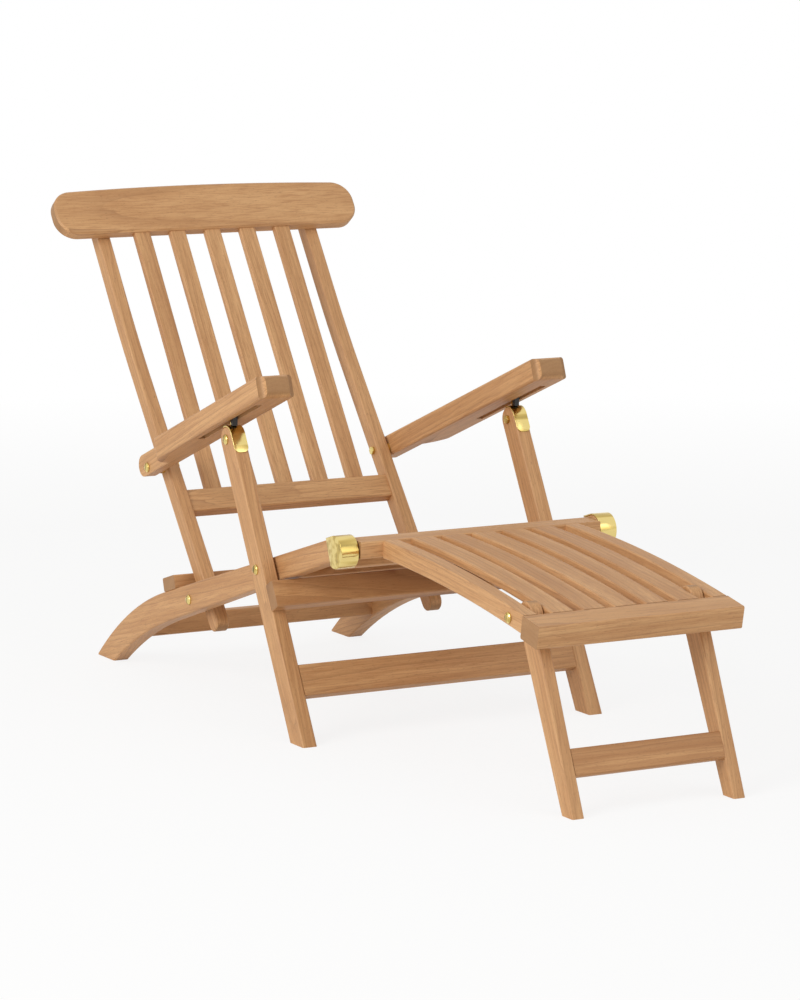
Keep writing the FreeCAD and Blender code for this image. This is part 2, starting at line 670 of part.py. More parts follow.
def build_back():
    mirrored_pair("back_stile", build_stile)
    build_head_rail()
    half = S["stile_depth"] / 2
    top = S["back_rail_start"] + S["back_rail_height"]
    front = S["back_rail_thick"] - half
    lower = rectangle(BACK, S["back_rail_start"], top, -half, front)
    board("lower_back_rail", lower, -STILE_INNER, STILE_INNER)
    middle = S["back_rail_thick"] / 2 - half
    slope = S["back_slat_thick"] / 2
    head_middle = half + S["head_thick"] / 2
    corners = [BACK.at(top, middle - slope), UPPER.at(S["head_start"], head_middle - slope),
               UPPER.at(S["head_start"], head_middle + slope), BACK.at(top, middle + slope)]
    for index in range(BACK_SLATS):
        low, high = slat_span(index, BACK_SLATS, S["back_slat_width"], S["back_slat_pitch"])
        plate("back_slat_%d" % (index + 1), corners, low, high, 40.0)


def build_arm(body, side):
    low, high = span(side, ARM_INNER, ARM_OUTER)
    below, above, reach = -S["arm_below"], S["arm_above"], S["arm_reach"]
    nose = S["arm_nose_radius"]
    tail = S["tongue_reach"]
    middle = (above + below) / 2
    round_end = (above - below) / 2
    start = -tail - 1
    corners = [ARM.at(start, below), ARM.at(reach - nose, below),
               Arc(ARM.at(reach, below + nose), nose, True), ARM.at(reach, above - nose),
               Arc(ARM.at(reach - nose, above), nose, True), ARM.at(start, above)]
    pad_outline(body, "board", corners, low, high)
    ease(body, "easing", S["arm_easing"], side_edges(low, high), rounded=True)
    # The tongue: the rear end is cut away on the outside, with a slanting shoulder.
    outside, behind = ARM_OUTER + 1, start - 1
    notch = [(outside * side, -behind), (outside * side, -S["shoulder_outer"]),
             (ARM_OUTER * side, -S["shoulder_outer"]),
             Arc((TONGUE_OUTER * side, -S["shoulder_inner"]), S["shoulder_radius"], side < 0),
             (TONGUE_OUTER * side, -behind)]
    cut_across_arm(body, "tongue_cut", notch, below - 1, above + 1)
    corner = S["arm_corner_radius"]
    for name, edge, inward in (("outer_corner", ARM_OUTER * side, -side),
                               ("inner_corner", ARM_INNER * side, side)):
        past = edge - inward
        nick = [(edge, -(reach - corner)), Arc((edge + corner * inward, -reach), corner, inward > 0),
                (edge + corner * inward, -reach - 1), (past, -reach - 1), (past, -(reach - corner))]
        cut_across_arm(body, name, nick, below - 1, above + 1)
    rear = [ARM.at(start - 1, below - 1), ARM.at(-tail + round_end, below - 1),
            ARM.at(-tail + round_end, below), Arc(ARM.at(-tail, middle), round_end),
            Arc(ARM.at(-tail + round_end, above), round_end),
            ARM.at(-tail + round_end, above + 1), ARM.at(start - 1, above + 1)]
    cut_outline(body, "rounded_end", rear, low, high)
    groove_low, groove_high = span(side, GROOVE_MIDDLE - S["groove_width"] / 2,
                                   GROOVE_MIDDLE + S["groove_width"] / 2)
    groove = [ARM.at(S["groove_start"], below - 5), ARM.at(S["groove_end"], below - 5),
              ARM.at(S["groove_end"], below + S["groove_depth"]),
              ARM.at(S["groove_start"], below + S["groove_depth"])]
    cut_outline(body, "groove", groove, groove_low, groove_high)
    bore(body, "pivot_hole", ARM_PIVOT, BOLT_HOLE, low, high)


def cut_across_arm(body, name, corners, low, high):
    """Cut an outline drawn on the sloping arm, seen square to its top: X, and Y along the arm."""
    before = body.Shape.Volume
    sketch = body.newObject("Sketcher::SketchObject", body.Name + "_" + name + "_outline")
    sketch.AttachmentSupport = [(plane_of(body, "XY_Plane"), "")]
    sketch.MapMode = "FlatFace"
    slope = S["arm_slope"]
    sketch.AttachmentOffset = FreeCAD.Placement(Vector(), FreeCAD.Rotation(Vector(-1, 0, 0), slope.value))
    base = ARM.at(0, high)
    bind(sketch, ".AttachmentOffset.Base.y", base[0])
    bind(sketch, ".AttachmentOffset.Base.z", base[1])
    sketch.setExpression(".AttachmentOffset.Rotation.Angle", slope.text + " * 1 deg")
    draw_outline(sketch, corners)
    pocket = body.newObject("PartDesign::Pocket", body.Name + "_" + name)
    pocket.Profile = sketch
    pocket.Length = (high - low).value
    bind(pocket, "Length", high - low)
    DOC.recompute()
    if not body.Shape.Volume < before - 1.0:
        raise ValueError("%s cut nothing from %s" % (name, body.Label))
    return pocket


def build_arm_rack(body, side):
    """Brass rack on the roof of the groove, with teeth that the leg's catch drops between."""
    half = S["groove_width"] / 2 - S["fit_gap"]
    low, high = span(side, GROOVE_MIDDLE - half, GROOVE_MIDDLE + half)
    roof = S["groove_depth"] - S["arm_below"]
    bottom = roof - S["rack_plate"]
    corners = [ARM.at(S["groove_end"] - 1, roof), ARM.at(S["groove_start"] + 1, roof),
               ARM.at(S["groove_start"] + 1, bottom)]
    teeth = int(S["rack_teeth"].value)
    first = S["groove_start"] + (S["groove_end"] - S["groove_start"] - (teeth - 1) * S["rack_pitch"]) / 2
    for index in range(teeth):
        middle = first + index * S["rack_pitch"]
        corners.append(ARM.at(middle - S["rack_tooth"], bottom))
        corners.append(ARM.at(middle, bottom - S["rack_tooth"]))
        corners.append(ARM.at(middle + S["rack_tooth"] / 2, bottom))
    corners.append(ARM.at(S["groove_end"] - 1, bottom))
    pad_outline(body, "rack", corners, low, high)


def build_front_leg(body, side):
    low, high = span(side, LEG_INNER, LEG_OUTER)
    depth, length = S["leg_depth"], LEG_LENGTH
    half = depth / 2
    heel = depth * cosine(S["leg_lean"]) / sine(S["leg_lean"])
    corners = [LEG.at(0, 0), LEG.at(heel, depth), LEG.at(length - half, depth),
               Arc(LEG.at(length, half), half), Arc(LEG.at(length - half, 0), half)]
    pad_outline(body, "board", corners, low, high)
    bore(body, "pivot_hole", LEG_PIVOT, BOLT_HOLE, low, high)
    bore(body, "saddle_hole", catch_place()[0], S["bolt_radius"], low, high)
    ease(body, "easing", S["arris"], side_edges(low, high, (on_floor, lambda e: e.Length < 40.0)))


def catch_place():
    """Middle of the leg's rounded top, and where the teeth of the rack pass above it."""
    middle = LEG.at(LEG_LENGTH - S["leg_depth"] / 2, S["leg_depth"] / 2)
    teeth = S["groove_depth"] - S["arm_below"] - S["rack_plate"] - S["rack_tooth"]

    def teeth_at(y):
        return ARM_PIVOT[1] + (teeth - (y - ARM_PIVOT[0]) * ARM.across[0]) / ARM.across[1]
    return middle, teeth_at


def build_saddle(body, side):
    """Brass saddle: a sheet bent over the front of the leg top, with an upright tongue."""
    low, high = span(side, LEG_INNER, LEG_OUTER)
    gap, wall = S["fit_gap"], S["saddle_wall"]
    lip = S["leg_depth"] / 2
    top = LEG_LENGTH - lip
    near, far = lip + gap, lip + gap + wall
    drop = S["saddle_drop"]
    corners = [LEG.at(top + far, lip), Arc(LEG.at(top, lip - far), far),
               LEG.at(top - drop, lip - far), LEG.at(top - drop, lip - near), LEG.at(top, lip - near),
               Arc(LEG.at(top + near, lip), near, True)]
    pad_outline(body, "sheet", corners, low, high)
    middle, teeth_at = catch_place()
    root = middle[1] + near + wall / 4
    behind = middle[0] + S["tongue_thick"]
    tip = teeth_at(behind) - S["catch_clearance"]
    upright = [(middle[0], root - wall / 4), (behind, root - wall / 4), (behind, tip), (middle[0], tip)]
    catch_low, catch_high = span(side, GROOVE_MIDDLE - S["catch_width"] / 2,
                                 GROOVE_MIDDLE + S["catch_width"] / 2)
    pad_outline(body, "tongue", upright, catch_low, catch_high)


def build_catch_block(body, side):
    """Black nylon block in front of the saddle's tongue. It drops between two teeth of the rack."""
    middle, teeth_at = catch_place()
    root = middle[1] + S["leg_depth"] / 2 + S["fit_gap"] + S["saddle_wall"] + S["fit_gap"]
    back = middle[0] - S["fit_gap"]
    front = back - S["block_depth"]
    low, high = span(side, GROOVE_MIDDLE - S["catch_width"] / 2, GROOVE_MIDDLE + S["catch_width"] / 2)
    tip = teeth_at(back) - S["catch_clearance"]
    block = [(front, root), (back, root), (back, tip), (front + 2, tip), (front, tip - 2)]
    pad_outline(body, "block", block, low, high)


def build_front_legs():
    mirrored_pair("front_leg", build_front_leg)
    bottom = S["low_rail_bottom"]
    back = S["low_rail_set_back"]
    stretcher = rectangle(LEG, bottom, bottom + S["low_rail_height"], back, back + S["low_rail_thick"])
    board("front_stretcher", stretcher, -LEG_INNER, LEG_INNER)
    apron = rectangle(LEG, S["apron_bottom"], S["apron_bottom"] + S["apron_height"],
                      -S["apron_thick"], Size.of(0))
    board("apron_rail", apron, -LEG_OUTER, LEG_OUTER)
    mirrored_pair("leg_saddle", build_saddle)
    mirrored_pair("catch_block", build_catch_block)


def build_foot_side(body, side):
    low, high = span(side, FOOT_INNER, FOOT_OUTER)
    corners = foot_board(S["foot_side_height"])
    pad_outline(body, "board", corners, low, high)
    bore(body, "pivot_hole", FOOT_PIVOT, BOLT_HOLE, low, high)
    ease(body, "easing", S["arris"], side_edges(low, high, (lambda e: e.Length < 60.0,)))


def foot_board(thick):
    """Side view of an arched footrest board between the hinge rail and the front rail."""
    run, radius = S["foot_run"], S["foot_arc_radius"]
    return [Arc(foot_at(0, 0), radius, True), foot_at(0, thick),
            Arc(foot_at(run, thick), radius - thick), foot_at(run, 0)]


def build_footrest():
    hinge = rectangle(HINGE_RAIL, Size.of(0), S["hinge_rail_depth"], Size.of(0), S["hinge_rail_height"])
    rail = board("footrest_hinge_rail", hinge, -HINGE_END, HINGE_END)
    hole = S["knuckle_pin_radius"] + S["fit_gap"]
    bore(rail, "left_pin_hole", KNUCKLE, hole, -HINGE_END, -HINGE_END + 25)
    bore(rail, "right_pin_hole", KNUCKLE, hole, HINGE_END - 25, HINGE_END)
    mirrored_pair("footrest_side", build_foot_side)
    for index in range(FOOT_SLATS):
        low, high = slat_span(index, FOOT_SLATS, S["foot_slat_width"],
                              S["foot_slat_width"] + S["foot_slat_gap"])
        plate("footrest_slat_%d" % (index + 1), foot_board(S["foot_slat_thick"]), low, high, 40.0)
    run, end = S["foot_run"], S["foot_run"] + S["front_rail_depth"]
    tall = S["front_rail_height"]
    front = [foot_at(run, 0), foot_at(run, tall), foot_at(end, tall), foot_at(end, 0)]
    board("footrest_front_rail", front, -FOOT_OUTER, FOOT_OUTER)


def foot_leg_depth(height):
    """Half depth of the tapering footrest leg, at a height above the floor along the leg."""
    length = foot_leg_length()
    share = Size.of(height) / length
    return (S["foot_leg_toe"] + (S["foot_leg_head"] - S["foot_leg_toe"]) * share) / 2


def foot_leg_length():
    return FOOT_PIVOT[1] / sine(S["foot_leg_lean"])


def build_foot_leg(body, side):
    low, high = span(side, FOOT_LEG_INNER, FOOT_LEG_OUTER)
    head, toe = S["foot_leg_head"] / 2, S["foot_leg_toe"] / 2
    foot = FOOT_LEG.at(foot_leg_length(), 0)
    spread = toe / sine(S["foot_leg_lean"])
    corners = [(foot[0] - spread, 0), (foot[0] + spread, 0), FOOT_LEG.at(0, -head),
               Arc(FOOT_LEG.at(-head, 0), head), Arc(FOOT_LEG.at(0, head), head)]
    pad_outline(body, "board", corners, low, high)
    bore(body, "pivot_hole", FOOT_PIVOT, BOLT_HOLE, low, high)
    ease(body, "easing", S["arris"], side_edges(low, high, (on_floor, lambda e: e.Length < 40.0)))


def build_foot_legs():
    mirrored_pair("footrest_leg", build_foot_leg)
    length = foot_leg_length()
    top, bottom = S["foot_bar_top"], S["foot_bar_top"] - S["foot_bar_height"]
    front_top = foot_leg_depth(top) - 1
    front_bottom = foot_leg_depth(bottom) - 1
    corners = [FOOT_LEG.at(length - bottom, front_bottom), FOOT_LEG.at(length - top, front_top),
               FOOT_LEG.at(length - top, front_top - S["foot_bar_thick"]),
               FOOT_LEG.at(length - bottom, front_bottom - S["foot_bar_thick"])]
    board("footrest_leg_stretcher", corners, -FOOT_LEG_INNER, FOOT_LEG_INNER)


def build_bolt(label, centre, side, inside, outside, with_nut):
    """Slotted button-head bolt along X, with its head outside and a nut or a flush end inside."""
    body = new_body(label)
    grip = outside - inside
    shank, head, tall = S["bolt_radius"], S["bolt_head_radius"], S["bolt_head_height"]
    sketch = new_sketch(body, "section", "XZ_Plane", Size.of(0))
    draw_outline(sketch, [(0, 0), (0, shank), (grip, shank), (grip, head), (grip + S["bolt_rim"], head),
                          (grip + tall, S["bolt_crown_radius"]), (grip + tall, 0)])
    turn = body.newObject("PartDesign::Revolution", body.Name + "_turned")
    turn.Profile = sketch
    turn.ReferenceAxis = (sketch, ["H_Axis"])
    turn.Angle = 360
    DOC.recompute()
    slot = S["bolt_slot"] / 2
    deep = tall * 0.45
    cut_outline(body, "slot", [(-slot, -head), (slot, -head), (slot, head), (-slot, head)],
                grip + tall - deep, grip + tall + 1)
    if with_nut:
        hexagon = [(S["nut_radius"] * math.cos(math.pi * k / 3), S["nut_radius"] * math.sin(math.pi * k / 3))
                   for k in range(6)]
        pad_outline(body, "nut", hexagon, -S["nut_height"], Size.of(0))
    flip = 0 if side > 0 else 180
    x = Size.of(inside).value * side
    body.Placement = FreeCAD.Placement(Vector(x, centre[0].value, centre[1].value),
                                       FreeCAD.Rotation(Vector(0, 0, 1), flip))
    return body


def bolt_pair(label, centre, inside, outside, with_nut=True):
    group(label, [build_bolt("%s_%s" % (label, name), centre, side, inside, outside, with_nut)
                  for side, name in ((-1, "left"), (1, "right"))])


def ring(label, centre, side, inner, outer, radius, hole):
    """A flat washer, or a plain pin where hole is None."""
    body = new_body(label)
    low, high = span(side, inner, outer)
    sketch = new_sketch(body, "section", "YZ_Plane", low)
    for size in (radius, hole):
        if size is None:
            continue
        circle = Part.Circle(Vector(centre[0].value, centre[1].value, 0), Vector(0, 0, 1), size.value)
        geo = sketch.addGeometry(circle, False)
        for kind, place in (("DistanceX", centre[0]), ("DistanceY", centre[1])):
            number = sketch.addConstraint(Sketcher.Constraint(kind, -1, 1, geo, 3, place.value))
            bind(sketch, "Constraints[%d]" % number, place)
        number = sketch.addConstraint(Sketcher.Constraint("Radius", geo, size.value))
        bind(sketch, "Constraints[%d]" % number, size)
    pad = body.newObject("PartDesign::Pad", body.Name + "_disc")
    pad.Profile = sketch
    pad.Length = (high - low).value
    bind(pad, "Length", high - low)
    DOC.recompute()
    return body


def ring_pair(label, centre, inner, outer, radius, hole):
    group(label, [ring("%s_%s" % (label, name), centre, side, inner, outer, radius, hole)
                  for side, name in ((-1, "left"), (1, "right"))])


def build_fasteners():
    clear = S["fit_gap"]
    bolt_pair("back_pivot_bolts", BACK_PIVOT, STILE_INNER - clear, RAIL_OUTER + clear)
    bolt_pair("leg_pivot_bolts", LEG_PIVOT, RAIL_INNER - clear, LEG_OUTER + clear)
    bolt_pair("saddle_bolts", catch_place()[0], LEG_INNER - clear, LEG_OUTER + clear)
    ring_pair("leg_washers", LEG_PIVOT, RAIL_OUTER + clear, LEG_INNER - clear,
              S["washer_radius"], BOLT_HOLE)
    ring_pair("knuckle_pins", KNUCKLE, HINGE_END - 24, RAIL_OUTER, S["knuckle_pin_radius"], None)
    bolt_pair("arm_pivot_bolts", ARM_PIVOT, STILE_INNER - clear, TONGUE_OUTER + clear)
    ring_pair("arm_washers", ARM_PIVOT, STILE_OUTER + clear, ARM_INNER - clear,
              S["washer_radius"], BOLT_HOLE)
    bolt_pair("footrest_pivot_bolts", FOOT_PIVOT, FOOT_LEG_INNER, FOOT_OUTER + clear, False)


def centre_the_chair():
    """Move every piece along Y so that the origin is under the middle of the chair."""
    low = min(piece.Shape.BoundBox.YMin for piece in PIECES)
    high = max(piece.Shape.BoundBox.YMax for piece in PIECES)
    shift = Vector(0, -(low + high) / 2.0, 0)
    for piece in PIECES:
        place = piece.Placement
        piece.Placement = FreeCAD.Placement(place.Base + shift, place.Rotation)
    DOC.recompute()
    return shift.y


def check_document():
    for item in DOC.Objects:
        if "Invalid" in item.State or "Error" in item.State:
            raise ValueError("%s failed: %s" % (item.Label, item.State))
    for piece in PIECES:
        if piece.Shape.isNull() or not piece.Shape.isValid():
            raise ValueError("bad shape: " + piece.Label)
        if not piece.Shape.Solids:
            raise ValueError("no solid in " + piece.Label)


def main():
    build_seat_frame()
    build_back()
    mirrored_pair("arm", build_arm)
    mirrored_pair("arm_rack", build_arm_rack)
    build_front_legs()
    build_footrest()
    build_foot_legs()
    build_fasteners()
    DOC.recompute()
    shift = centre_the_chair()
    check_document()
    os.makedirs("parts", exist_ok=True)
    for piece in PIECES:
        piece.Shape.exportStep("parts/%s.step" % piece.Label)
    print("pieces", len(PIECES), "shift along Y %.3f" % shift)
    for name, point in (("knuckle", KNUCKLE), ("leg_pivot", LEG_PIVOT), ("back_pivot", BACK_PIVOT),
                        ("arm_pivot", ARM_PIVOT), ("foot_pivot", FOOT_PIVOT)):
        print("%s %.3f %.3f" % (name, point[0].value + shift, point[1].value))


main()
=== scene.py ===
"""Studio scene of a folding steamer deck chair in sanded teak with polished brass fittings.

The chair stands on a pale floor, feet at Z = 0, its footrest towards -Y and its back towards +Y.
All sizes are in metres, unless a name ends in _mm or _deg.
"""

from __future__ import annotations

import json
import logging
import math
import random
from dataclasses import dataclass, field
from enum import Enum
from typing import Any, Iterable, Mapping

import bpy
from mathutils import Euler, Matrix, Vector

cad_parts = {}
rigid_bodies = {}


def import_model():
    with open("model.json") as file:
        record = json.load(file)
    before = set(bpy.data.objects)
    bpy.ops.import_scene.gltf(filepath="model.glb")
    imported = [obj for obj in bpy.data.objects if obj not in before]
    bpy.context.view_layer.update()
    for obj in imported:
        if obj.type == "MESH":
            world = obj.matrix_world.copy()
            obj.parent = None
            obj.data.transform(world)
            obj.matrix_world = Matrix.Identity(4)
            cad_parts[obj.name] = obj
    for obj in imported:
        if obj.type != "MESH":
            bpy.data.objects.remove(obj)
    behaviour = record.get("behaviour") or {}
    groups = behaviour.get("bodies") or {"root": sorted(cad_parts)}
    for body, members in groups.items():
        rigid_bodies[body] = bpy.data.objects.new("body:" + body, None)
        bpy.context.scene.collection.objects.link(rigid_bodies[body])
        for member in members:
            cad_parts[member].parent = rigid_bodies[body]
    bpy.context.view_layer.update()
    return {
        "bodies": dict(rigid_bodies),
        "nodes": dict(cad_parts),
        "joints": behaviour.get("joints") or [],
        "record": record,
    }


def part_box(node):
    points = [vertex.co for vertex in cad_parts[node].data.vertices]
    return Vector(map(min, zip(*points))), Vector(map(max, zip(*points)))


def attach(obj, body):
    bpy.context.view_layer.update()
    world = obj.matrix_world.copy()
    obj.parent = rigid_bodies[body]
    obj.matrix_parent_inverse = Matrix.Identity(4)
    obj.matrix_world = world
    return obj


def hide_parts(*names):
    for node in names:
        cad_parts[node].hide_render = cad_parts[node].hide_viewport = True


LOG = logging.getLogger("steamer_chair")

Colour = tuple[float, float, float, float]


def linear(code: str) -> Colour:
    """Turns an sRGB hex colour into the linear colour that a shader socket takes.

    Args:
        code: the colour as "#RRGGBB".

    Returns:
        Red, green, blue and an alpha of 1, linear.
    """
    parts = [int(code[i : i + 2], 16) / 255.0 for i in (1, 3, 5)]
    steps = [p / 12.92 if p <= 0.04045 else ((p + 0.055) / 1.055) ** 2.4 for p in parts]
    return (steps[0], steps[1], steps[2], 1.0)


def blended(first: Colour, second: Colour, share: float) -> Colour:
    """Mixes two linear colours.

    Args:
        first: the colour at share 0.
        second: the colour at share 1.
        share: how much of the second there is, 0 to 1.

    Returns:
        The mixed linear colour.
    """
    mixed = [a + (b - a) * share for a, b in zip(first, second)]
    return (mixed[0], mixed[1], mixed[2], 1.0)


def per_metre(size_mm: float) -> float:
    """Returns the texture scale at which one feature of a pattern is size_mm long."""
    return 1000.0 / size_mm


def add_node(
    tree: bpy.types.NodeTree,
    kind: str,
    settings: Mapping[str, Any] | None = None,
    inputs: Mapping[str | int, Any] | None = None,
) -> bpy.types.Node:
    """Adds one node, sets its properties, and fills or links its inputs.

    Args:
        tree: the node tree to add it to.
        kind: the node's type, such as "ShaderNodeTexNoise".
        settings: properties of the node by name.
        inputs: a value, or the output socket to link from, by the input's name or number.

    Returns:
        The new node.
    """
    node = tree.nodes.new(kind)
    for name, value in (settings or {}).items():
        setattr(node, name, value)
    for name, value in (inputs or {}).items():
        if isinstance(value, bpy.types.NodeSocket):
            tree.links.new(value, node.inputs[name])
        else:
            node.inputs[name].default_value = value
    return node


def set_stops(ramp: bpy.types.Node, stops: Iterable[tuple[float, Colour]]) -> None:
    """Gives a colour ramp its stops.

    Args:
        ramp: the colour ramp node.
        stops: place from 0 to 1, and linear colour, in rising order.
    """
    elements = ramp.color_ramp.elements
    while len(elements) > 1:
        elements.remove(elements[-1])
    for number, (place, colour) in enumerate(stops):
        element = elements[0] if number == 0 else elements.new(place)
        element.position = place
        element.color = colour


def new_material(name: str) -> tuple[bpy.types.Material, bpy.types.NodeTree, bpy.types.Node]:
    """Starts a material with an empty Principled shader on its output.

    Args:
        name: the material's name.

    Returns:
        The material, its node tree and its Principled node.
    """
    material = bpy.data.materials.new(name)
    material.use_nodes = True
    tree = material.node_tree
    tree.nodes.clear()
    shader = add_node(tree, "ShaderNodeBsdfPrincipled")
    add_node(tree, "ShaderNodeOutputMaterial", inputs={"Surface": shader.outputs["BSDF"]})
    return material, tree, shader


class Run(Enum):
    """Which way a board's length runs, and which way its broad face looks."""

    ACROSS = "along X, broad face tilted by the slope"
    FLAT = "along the slope, broad face up"
    ON_EDGE = "along the slope, broad face to the side"


class Cut(Enum):
    """How a board was sawn from the log: where the pith lies from its middle, in millimetres.

    The first number is along the width of the broad face, the second through the thickness.
    """

    FLAT_SAWN = (4.0, -48.0)
    RIFT_SAWN = (58.0, -52.0)
    QUARTER_SAWN = (120.0, -14.0)


@dataclass(frozen=True)
class Board:
    """One teak board of the chair and the figure of its grain."""

    node: str
    run: Run
    slope_deg: float
    cut: Cut = Cut.RIFT_SAWN
    tone: float = 0.35
    ring_mm: float = 8.0
    runout_deg: float = 2.0
    dark_core_mm: float = 0.0

    def axes(self) -> Matrix:
        """Returns the turn that lays the board's length on X and its thickness on Z."""
        turn = math.radians(self.slope_deg)
        along = Vector((0.0, math.cos(turn), math.sin(turn)))
        side = Vector((1.0, 0.0, 0.0))
        if self.run is Run.ACROSS:
            return Matrix((side, along, side.cross(along)))
        if self.run is Run.FLAT:
            return Matrix((along, side, along.cross(side)))
        return Matrix((along, side.cross(along), side))

    def middle(self) -> Vector:
        """Returns the middle of the board's box, where its pattern is centred."""
        low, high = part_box(self.node)
        return (low + high) / 2.0


@dataclass(frozen=True)
class SandedTeak:
    """Sanded, unoiled teak: honey boards that differ in tone, with uneven brown ring lines."""

    pale: str = "#DDAE7A"
    honey: str = "#CC9A67"
    tan: str = "#AF7B4C"
    ring_line: str = "#7C4D2B"
    # A darker colour within a set distance of the pith, used on the apron rail only.
    dark_core: str = "#6B3D21"
    pore: str = "#6A4227"
    end_grain: str = "#946C43"
    fibre_length_mm: float = 80.0
    fibre_width_mm: float = 2.2
    patch_length_mm: float = 300.0
    patch_width_mm: float = 30.0
    band_mm: float = 17.0
    pore_length_mm: float = 10.0
    pore_width_mm: float = 0.7
    bend_length_mm: float = 330.0
    bend_width_mm: float = 55.0
    bend_mm: float = 16.0

    def material(self, board: Board) -> bpy.types.Material:
        """Makes the material of one board, turned and centred on it.

        Args:
            board: the board with its grain.

        Returns:
            The finished material.
        """
        dice = random.Random(board.node)
        material, tree, shader = new_material(f"sanded_teak_{board.node}")
        place = add_node(tree, "ShaderNodeTexCoord")
        axes = board.axes()
        lean = Euler((0.0, math.radians(board.runout_deg), math.radians(dice.uniform(-0.9, 0.9))))
        turn = lean.to_matrix() @ axes
        across_mm, deep_mm = board.cut.value
        if dice.random() < 0.5:
            across_mm = -across_mm
        pith = Vector((0.0, across_mm / 1000.0, deep_mm / 1000.0)) * dice.uniform(0.85, 1.15)
        log = add_node(
            tree,
            "ShaderNodeMapping",
            inputs={
                "Vector": place.outputs["Object"],
                "Rotation": turn.to_euler("XYZ"),
                "Location": -(turn @ board.middle()) - pith,
            },
        )
        depth = self._bent_distance(tree, log)
        lines = self._ring_lines(tree, log, depth, board)
        fibre = self._stretched_noise(tree, log, self.fibre_length_mm, self.fibre_width_mm, 5.0)
        colour = self._body_colour(tree, log, board, depth)
        colour = self._tinted(tree, colour, lines, linear(self.ring_line), 0.8)
        streak = add_node(
            tree,
            "ShaderNodeMapRange",
            inputs={"Value": fibre, "From Min": 0.46, "From Max": 0.66, "To Min": 0.0, "To Max": 0.7},
        )
        colour = self._tinted(tree, colour, streak.outputs["Result"], linear(self.tan), 1.0)
        colour = self._with_pores(tree, log, colour)
        colour = self._with_end_grain(tree, place, axes.row[0], colour)
        tree.links.new(colour, shader.inputs["Base Color"])
        # Teak is sanded to a dull silk: no clear sheen, but a soft light along its arrises.
        rough = add_node(
            tree,
            "ShaderNodeMapRange",
            inputs={"Value": fibre, "From Min": 0.3, "From Max": 0.7, "To Min": 0.62, "To Max": 0.5},
        )
        tree.links.new(rough.outputs["Result"], shader.inputs["Roughness"])
        bump = add_node(
            tree,
            "ShaderNodeBump",
            inputs={"Strength": 0.4, "Distance": 0.0005, "Height": fibre},
        )
        tree.links.new(bump.outputs["Normal"], shader.inputs["Normal"])
        return material

    def _tinted(
        self,
        tree: bpy.types.NodeTree,
        colour: bpy.types.NodeSocket,
        share: bpy.types.NodeSocket,
        tint: Colour,
        most: float,
    ) -> bpy.types.NodeSocket:
        """Mixes a tint into a colour.

        Args:
            tree: the material's node tree.
            colour: the colour so far.
            share: where the tint lies, 0 to 1.
            tint: the linear colour mixed in.
            most: the tint's share where it is strongest.

        Returns:
            The mixed colour.
        """
        eased = add_node(tree, "ShaderNodeMath", {"operation": "MULTIPLY"}, {0: share, 1: most})
        mixed = add_node(
            tree,
            "ShaderNodeMix",
            {"data_type": "RGBA"},
            {0: eased.outputs["Value"], 6: colour, 7: tint},
        )
        return mixed.outputs[2]

    def _stretched_noise(
        self,
        tree: bpy.types.NodeTree,
        log: bpy.types.Node,
        length_mm: float,
        width_mm: float,
        detail: float,
    ) -> bpy.types.NodeSocket:
        """Adds noise that is drawn out along the board.

        Args:
            tree: the material's node tree.
            log: the mapping node that lays the board's length on X.
            length_mm: how long one streak is.
            width_mm: how wide one streak is.
            detail: how many finer layers the noise has.

        Returns:
            The noise factor, 0 to 1.
        """
        scale = (per_metre(length_mm), per_metre(width_mm), per_metre(width_mm))
        spread = add_node(
            tree,
            "ShaderNodeMapping",
            inputs={"Vector": log.outputs["Vector"], "Scale": scale},
        )
        noise = add_node(
            tree,
            "ShaderNodeTexNoise",
            inputs={
                "Vector": spread.outputs["Vector"],
                "Scale": 1.0,
                "Detail": detail,
                "Roughness": 0.55,
            },
        )
        return noise.outputs["Fac"]

    def _bent_distance(self, tree: bpy.types.NodeTree, log: bpy.types.Node) -> bpy.types.NodeSocket:
        """Measures how far a point lies from the pith of a trunk that isn't quite straight.

        Args:
            tree: the material's node tree.
            log: the mapping node that centres the log on the pith.

        Returns:
            The distance in metres.
        """
        flat = add_node(
            tree,
            "ShaderNodeVectorMath",
            {"operation": "MULTIPLY"},
            {0: log.outputs["Vector"], 1: (0.0, 1.0, 1.0)},
        )
        away = add_node(
            tree, "ShaderNodeVectorMath", {"operation": "LENGTH"}, {0: flat.outputs["Vector"]}
        )
        bend = self._stretched_noise(tree, log, self.bend_length_mm, self.bend_width_mm, 3.0)
        bent = add_node(
            tree,
            "ShaderNodeMath",
            {"operation": "MULTIPLY_ADD"},
            {0: bend, 1: self.bend_mm / 1000.0, 2: away.outputs["Value"]},
        )
        return bent.outputs["Value"]

